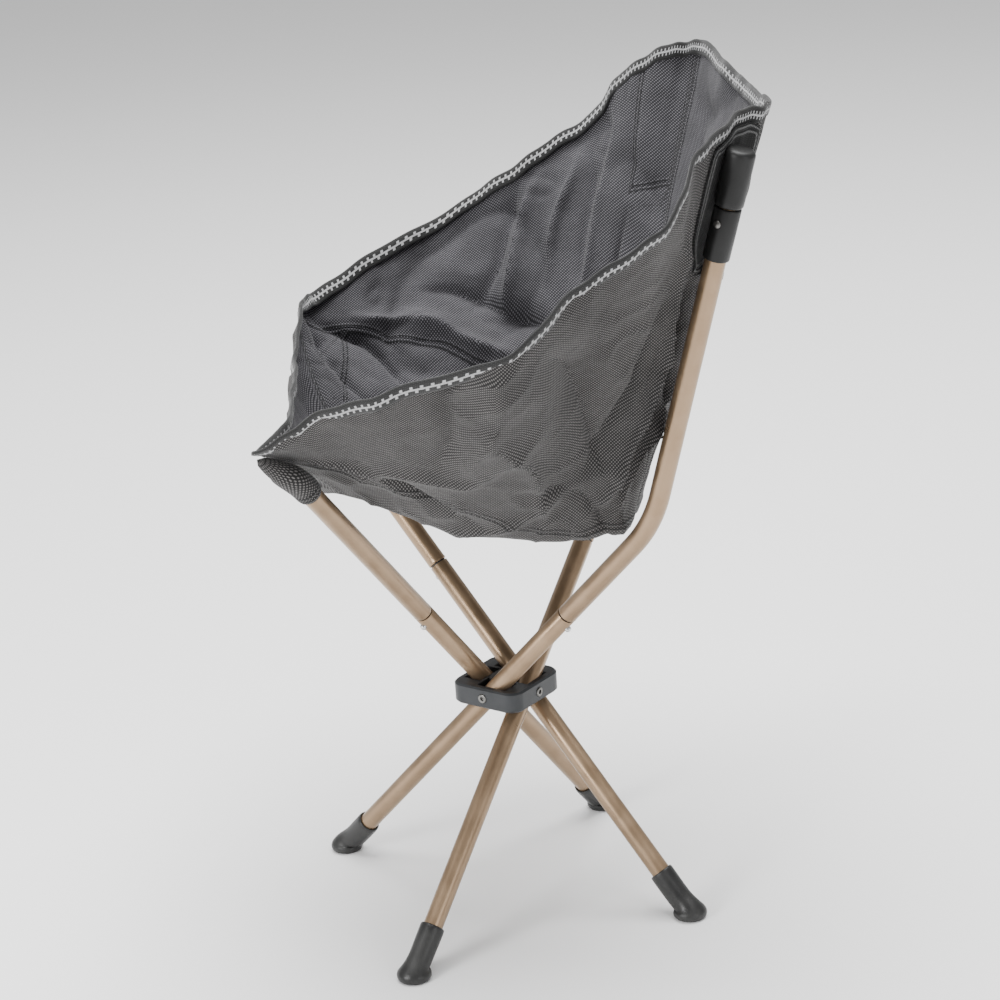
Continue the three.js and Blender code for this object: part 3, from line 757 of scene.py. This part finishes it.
# sewn lines: one from each front corner round the foot of the wall as turns and depths, as
# counted from the front middle, the panels' joins, a dart and the outline of the stiff patch
seams = {
    "left": ((1.9, 0.3), (2.4, 1.05), (3.0, 1.35), (3.6, 1.5), (4.3, 1.6), (5.1, 1.86), (6, 1.95),
             (12, 1.97)),
    "right": ((2.05, 0.1), (3.4, 0.62), (4.0, 0.92), (4.6, 1.12), (4.95, 1.3), (6, 1.62), (8, 1.9),
              (12, 1.97)),
    "joins": (2.0, 10.0), "dart": ((3.4, 0.62), (2.65, 1.6)),
    "patchTurns": (8.3, 9.85), "patchDepth": 0.68,
}
welt = {"height": 2.2, "width": 7.5, "groove": 1.5, "line": 2.6}


def seamDepth(line, turn):
    # depth of a sewn line at a turn
    for (start, low), (end, high) in zip(line, line[1:]):
        if turn <= end:
            return low + (high - low) * max(0.0, (turn - start) / (end - start))
    return line[-1][1]


def seamAt(turn, depth, upLength, roundLength):
    # signed distance to the nearest sewn line, and the distance along it, in metres
    turn = turn % loopSteps
    half = "right" if turn > loopSteps / 2 else "left"
    side = loopSteps - turn if half == "right" else turn
    step = 0.1
    slope = (seamDepth(seams[half], side + step) - seamDepth(seams[half], side - step)) * upLength
    slant = math.hypot(slope / (2 * step * roundLength), 1)
    away = (depth - seamDepth(seams[half], side)) * upLength / slant
    options = [(away if side > 1.9 else 1.0, side * roundLength * slant)]
    for join in seams["joins"]:
        if depth < 1.95:
            options.append(((side - join) * roundLength, depth * upLength))
    low, high = seams["patchTurns"]
    if 0.05 < depth < seams["patchDepth"] + 0.1 and low - 0.3 < side < high + 0.3:
        edges = max((low - side) * roundLength, (side - high) * roundLength,
                    (depth - seams["patchDepth"]) * upLength)
        options.append((edges, (side + depth) * roundLength))
    (startTurn, startDepth), (endTurn, endDepth) = seams["dart"]
    if half == "right" and startDepth < depth < endDepth:
        dart = startTurn + (endTurn - startTurn) * (depth - startDepth) / (endDepth - startDepth)
        options.append(((side - dart) * roundLength, depth * upLength))
    return min(options, key=lambda option: abs(option[0]))


def seamLift(away):
    # the folded edges under a sewn line stand out either side of a shallow groove
    ridge = welt["height"] * math.exp(-(away / welt["width"]) ** 2)
    return ridge - welt["groove"] * math.exp(-(away / welt["line"]) ** 2)


def wallLength(turn):
    # length of the cloth from the rim to the floor's edge, in metres
    points = [slingPoint(turn, depth / 4) for depth in range(9)]
    return sum((second - first).length for first, second in zip(points, points[1:])) * mm


def buildQuarter(quarter):
    start, end, corner = quarters[quarter]
    columnsWide = round((end - start) * sling["column"] / sling["cell"])
    mesh = bmesh.new()
    bmesh.ops.create_grid(mesh, x_segments=columnsWide, y_segments=sling["rows"], size=0.5)
    uvLayer = mesh.loops.layers.uv.new("UVMap")
    across = mesh.verts.layers.float.new("seamAcross")
    along = mesh.verts.layers.float.new("seamAlong")
    shareLayer = mesh.verts.layers.float.new("legShare")
    placeOf = {}
    lengthOf = {}
    for vertex in mesh.verts:
        turn = start + (end - start) * (vertex.co.x + 0.5)
        fraction = 0.5 - vertex.co.y
        depth = 2.15 * fraction / 0.72 if fraction < 0.72 else 2.15 + 0.85 * (fraction - 0.72) / 0.28
        placeOf[vertex] = (turn, depth)
        if round(turn, 4) not in lengthOf:
            lengthOf[round(turn, 4)] = wallLength(turn)
    for vertex, (turn, depth) in placeOf.items():
        upLength = lengthOf[round(turn, 4)] / 2
        seamAway, seamAlong = seamAt(turn, depth, upLength, sling["column"] * mm)
        vertex.co = seatPoint(turn, depth, seamLift(seamAway / mm))
        vertex[across], vertex[along] = seamAway, seamAlong
        vertex[shareLayer] = legShare(turn, depth, quarter)
    for face in mesh.faces:
        places = [placeOf[vertex] for vertex in face.verts]
        onFloor = min(depth for _, depth in places) >= 2
        turn = sum(turn for turn, _ in places) / len(places)
        onSide = sling["frontCorner"] < min(turn, loopSteps - turn) < sling["rearCorner"]
        for loop in face.loops:
            place, depth = placeOf[loop.vert]
            flat = loop.vert.co.y if onSide else loop.vert.co.x
            rise = (2 - depth) * lengthOf[round(place, 4)] / 2
            loop[uvLayer].uv = loop.vert.co.xy if onFloor else (flat, rise)
    bmesh.ops.remove_doubles(mesh, verts=mesh.verts, dist=1e-5)
    mesh.normal_update()
    inside = Vector((hubMiddle.x, hubMiddle.y, 0.6))
    outward = sum(face.normal.dot(face.calc_center_median() - inside) for face in mesh.faces)
    if outward < 0:
        bmesh.ops.reverse_faces(mesh, faces=mesh.faces)
    return mesh


def blendShares(piece):
    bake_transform(piece)


cut = {"columns": 60, "rows": 40}


def cutSize(start, end, top, bottom):
    # width, length and area of the cloth on its smooth surface, before any crease is put in
    lines = []
    for column in range(cut["columns"] + 1):
        turn = start + (end - start) * column / cut["columns"]
        lines.append([slingPoint(turn, top + (bottom - top) * row / cut["rows"]) * mm
                      for row in range(cut["rows"] + 1)])
    length = max(sum((low - high).length for high, low in zip(line, line[1:])) for line in lines)
    girths = [sum((after[row] - line[row]).length for line, after in zip(lines, lines[1:]))
              for row in range(cut["rows"] + 1)]
    area = 0.0
    for line, after in zip(lines, lines[1:]):
        for row in range(cut["rows"]):
            diagonals = after[row + 1] - line[row], line[row + 1] - after[row]
            area += diagonals[0].cross(diagonals[1]).length / 2
    return (max(girths), length), area


def buildSling():
    replaced = {
        "front_left": ("sling_front", "sling_side_left"), "rear_left": ("sling_back",),
        "rear_right": ("sling_floor",), "front_right": ("sling_side_right",),
    }
    for quarter, nodes in replaced.items():
        piece = addPiece("sling_" + quarter, buildQuarter(quarter), ("clothOut", "clothIn"), None,
                         nodes, 180)
        wall = piece.modifiers.new("cloth", "SOLIDIFY")
        wall.thickness = sling["thickness"] * mm
        wall.offset = 0
        wall.material_offset = 1
        wall.use_rim = True
        blendShares(piece)
        start, end, _ = quarters[quarter]
        flat, area = cutSize(start, end, 0, 3)
        print("sling", quarter, "cut", [round(side, 3) for side in flat], "area", round(area, 4))


binding = {"width": 16.0, "thick": 4.4, "step": 3.2, "around": 14}


def buildBinding(quarter):
    start, end, corner = quarters[quarter]
    steps = round((end - start) * sling["column"] / binding["step"])
    mesh = bmesh.new()
    bmesh.ops.create_grid(mesh, x_segments=steps, y_segments=binding["around"], size=0.5)
    uvLayer = mesh.loops.layers.uv.new("UVMap")
    shareLayer = mesh.verts.layers.float.new("legShare")
    half, thick = binding["width"] / 2, binding["thick"] / 2
    flatOf = {}
    for vertex in mesh.verts:
        turn = start + (end - start) * (vertex.co.x + 0.5)
        around = 2 * math.pi * (vertex.co.y + 0.5)
        width = half * math.copysign(abs(math.cos(around)) ** 0.6, math.cos(around))
        bulge = thick * math.copysign(abs(math.sin(around)) ** 0.7, math.sin(around))
        down, along, out = slingFrame(turn, 0)
        base = seatPoint(turn, 0)
        gather = 0.6 * noise.noise(base * 120)
        vertex.co = base + (down * (half - width - 0.5) + out * (bulge + gather)) * mm
        flatOf[vertex] = (turn * sling["column"] * mm, width * mm)
        vertex[shareLayer] = legShare(turn, 0, quarter)
    for face in mesh.faces:
        for loop in face.loops:
            loop[uvLayer].uv = flatOf[loop.vert]
    bmesh.ops.remove_doubles(mesh, verts=mesh.verts, dist=1e-6)
    bmesh.ops.recalc_face_normals(mesh, faces=mesh.faces)
    return mesh


def buildRim():
    for quarter in quarters:
        nodes = ("rim_binding",) if quarter == "front_left" else ()
        piece = addPiece("rim_tape_" + quarter, buildBinding(quarter), "tape", None,
                         nodes, 180)
        blendShares(piece)


patch = {"top": 0.06, "thickness": 1.6, "lift": 3.4}


def buildPatch(side):
    low, high = seams["patchTurns"]
    mesh = bmesh.new()
    bmesh.ops.create_grid(mesh, x_segments=26, y_segments=34, size=0.5)
    uvLayer = mesh.loops.layers.uv.new("UVMap")
    across = mesh.verts.layers.float.new("seamAcross")
    alongLayer = mesh.verts.layers.float.new("seamAlong")
    shareLayer = mesh.verts.layers.float.new("legShare")
    flatOf = {}
    for vertex in mesh.verts:
        x, y = vertex.co.x * 2, vertex.co.y * 2
        rounding = 1 - 0.10 * max(0, abs(x) * abs(y)) ** 3
        place = low + (high - low) * (x * rounding + 1) / 2
        depth = patch["top"] + (seams["patchDepth"] - patch["top"]) * (1 - y * rounding) / 2
        turn = loopSteps - place if side == "rear_right" else place
        vertex.co = seatPoint(turn, depth, patch["lift"])
        flatOf[vertex] = (place * sling["column"] * mm, depth * 0.2)
        edge = min((1 - abs(x)) * 0.045, (1 - abs(y)) * 0.065)
        vertex[across] = edge - 0.0055
        vertex[alongLayer] = (place + depth * 2) * sling["column"] * mm
        vertex[shareLayer] = legShare(turn, depth, side)
    for face in mesh.faces:
        for loop in face.loops:
            loop[uvLayer].uv = flatOf[loop.vert]
    if side == "rear_right":
        bmesh.ops.reverse_faces(mesh, faces=mesh.faces)
    piece = addPiece("cap_patch_" + side, mesh, "patch", None,
                     ("corner_patch_" + side[5:],), 180)
    wall = piece.modifiers.new("cloth", "SOLIDIFY")
    wall.thickness = patch["thickness"] * mm
    wall.offset = 0
    blendShares(piece)
    flat, area = cutSize(low, high, patch["top"], seams["patchDepth"])
    print("patch", side, "cut", [round(side, 3) for side in flat], "area", round(area, 4))


pocket = {"from": 375, "wide": {"front_left": 1.35, "front_right": 1.05},
          "pull": {"front_left": (9, -25, 13), "front_right": (6, 18, 22)}}


def buildPocket(side):
    # closed sock at the seat's front corner, flattened where its two layers are sewn together
    mouth = pocket["from"]
    profile = [(10.6, mouth + 3), (11.2, mouth), (12.3, mouth + 1.8)]
    stretch(profile, mouth + 5, mouth + 27, 12.9, 3)
    profile += [(12.2, mouth + 31), (10.8, mouth + 35), (8.6, mouth + 40), (5.6, mouth + 44), (0, mouth + 47)]
    mesh = lathe(profile, 56)
    for vertex in mesh.verts:
        height = vertex.co.z / mm
        flare = max(0.0, min(1.0, (height - pocket["from"]) / 30))
        wobble = 1 + 0.05 * noise.noise(vertex.co * 90)
        if vertex.co.xy.length > 11 * mm:
            vertex.co.y *= (1 + (pocket["wide"][side] - 1) * flare) * wobble
    uvLayer = mesh.loops.layers.uv.new("UVMap")
    for face in mesh.faces:
        for loop in face.loops:
            around = math.atan2(loop.vert.co.y, loop.vert.co.x)
            loop[uvLayer].uv = (around * 0.0126, loop.vert.co.z)
    seamLayer = mesh.verts.layers.float.new("seamAcross")
    alongLayer = mesh.verts.layers.float.new("seamAlong")
    for vertex in mesh.verts:
        vertex[seamLayer] = vertex.co.z - (pocket["from"] + 8) * mm
        vertex[alongLayer] = math.atan2(vertex.co.y, vertex.co.x) * 0.0126
    heights = [vertex.co.z / mm for vertex in mesh.verts]
    layAlong(mesh, side)
    for vertex, height in zip(mesh.verts, heights):
        drawn = max(0.0, min(1.0, (height - mouth - 10) / 37))
        vertex.co += Vector(pocket["pull"][side]) * mm * drawn * drawn
    addPiece("corner_pocket_" + side, mesh, "clothOut", "leg_" + side,
             ("tip_pocket_" + side[6:],), 60)


buildSling()
buildRim()
for side in ("rear_left", "rear_right"):
    buildPatch(side)
for side in ("front_left", "front_right"):
    buildPocket(side)
print("sling ready")


# nodes that stay as they are get their finish
for name, node in frame["nodes"].items():
    if name.startswith("tip_plug_"):
        node.data.materials.clear()
        node.data.materials.append(looks["plastic"])


view = {"azimuth": 86.96, "elevation": 18.69, "roll": -3.97, "distance": 2.5346, "lens": 90.4,
        "aimHeight": 0.4309, "aimRight": 0.0069}


def buildCamera():
    turn, tilt, roll = (math.radians(view[key]) for key in ("azimuth", "elevation", "roll"))
    back = Vector((math.sin(turn) * math.cos(tilt), -math.cos(turn) * math.cos(tilt), math.sin(tilt)))
    level = Vector((math.cos(turn), math.sin(turn), 0))
    upright = back.cross(level)
    right = level * math.cos(roll) + upright * math.sin(roll)
    top = upright * math.cos(roll) - level * math.sin(roll)
    aim = Vector((hubMiddle.x, hubMiddle.y, view["aimHeight"])) + right * view["aimRight"]
    data = bpy.data.cameras.new("camera")
    data.lens = view["lens"]
    data.sensor_width = 36
    data.clip_start, data.clip_end = 0.1, 30
    camera = bpy.data.objects.new("camera", data)
    turned = Matrix((right, top, back)).transposed().to_4x4()
    camera.matrix_world = Matrix.Translation(aim + back * view["distance"]) @ turned
    bpy.context.scene.collection.objects.link(camera)
    bpy.context.scene.camera = camera


def addLight(name, place, aim, size, power):
    data = bpy.data.lights.new(name, "AREA")
    data.shape = "RECTANGLE"
    data.size, data.size_y = size
    data.energy = power
    light = bpy.data.objects.new(name, data)
    light.location = place
    light.rotation_euler = (Vector(aim) - Vector(place)).to_track_quat("-Z", "Y").to_euler()
    bpy.context.scene.collection.objects.link(light)


def buildStage():
    mesh = bmesh.new()
    bmesh.ops.create_grid(mesh, x_segments=1, y_segments=1, size=12)
    data = bpy.data.meshes.new("studioFloor")
    mesh.to_mesh(data)
    mesh.free()
    material, tree, shader = newMaterial("studioPaper", 0.9)
    shader.inputs["Base Color"].default_value = (0.92, 0.92, 0.92, 1)
    data.materials.append(material)
    floor = bpy.data.objects.new("studioFloor", data)
    floor.location.z = -0.0002
    bpy.context.scene.collection.objects.link(floor)
    world = bpy.data.worlds.new("studio")
    world.use_nodes = True
    world.node_tree.nodes["Background"].inputs["Color"].default_value = (1, 1, 1, 1)
    world.node_tree.nodes["Background"].inputs["Strength"].default_value = 0.62
    bpy.context.scene.world = world


buildCamera()
buildStage()
middle = (0, 0, 0.5)
addLight("keyLight", (1.7, -2.3, 1.3), middle, (1.0, 0.9), 66)
addLight("topLight", (-0.4, 0.2, 4.2), (0, 0, 0), (3.4, 3.4), 430)
addLight("fillLight", (2.2, 1.5, 1.0), middle, (1.2, 1.2), 16)
print("stage ready")
